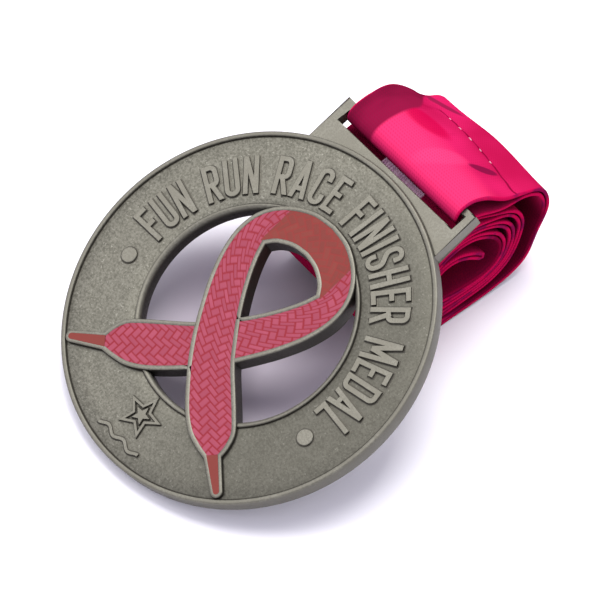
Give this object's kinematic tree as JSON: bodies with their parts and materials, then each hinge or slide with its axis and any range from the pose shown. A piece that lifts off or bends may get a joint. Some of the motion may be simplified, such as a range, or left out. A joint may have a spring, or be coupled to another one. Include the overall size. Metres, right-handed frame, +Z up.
{
  "type": "sports finisher medal",
  "caption": "Round cast medal with a crossed enamelled lace across its open middle and a slotted lug, leaning on its own rolled neck ribbon, which is looped through the slot and sewn.",
  "frame": {"origin": "middle of the object's box at ground level", "axes": "+Z up; +X along the ribbon bar; +Y from the disc's ground edge to the bar, up the slope of the leaning medal"},
  "size_m": [0.07, 0.0912, 0.0328],
  "materials": {
    "antique_nickel": "antique nickel plate on cast zinc alloy: worn bright edges, dark patina in the recesses, sand-blasted field",
    "pink_enamel": "soft enamel, satin, printed with a darker braid",
    "coral_enamel": "soft enamel, satin",
    "satin_ribbon": "dye-printed polyester satin with a fine weave and plum leaf shapes",
    "sewing_thread": "spun polyester thread"
  },
  "bodies": {
    "lanyard": {"ribbon_bar_loop": "satin_ribbon", "ribbon_roll": "satin_ribbon", "seam_thread": "sewing_thread"},
    "medal": {"medal_casting": "antique_nickel", "enamel_front_strand": "pink_enamel", "enamel_rear_strand": "pink_enamel", "enamel_left_tail": "pink_enamel", "enamel_loop_turn": "coral_enamel", "enamel_right_aglet": "coral_enamel", "enamel_left_aglet": "coral_enamel"}
  },
  "joints": [
    {"name": "bar_swing", "type": "hinge", "parent": "lanyard", "child": "medal", "pos_m": [0, 0.02427, 0.03014], "axis": [-1, 0, 0], "range_deg": [0, 120]}
  ]
}
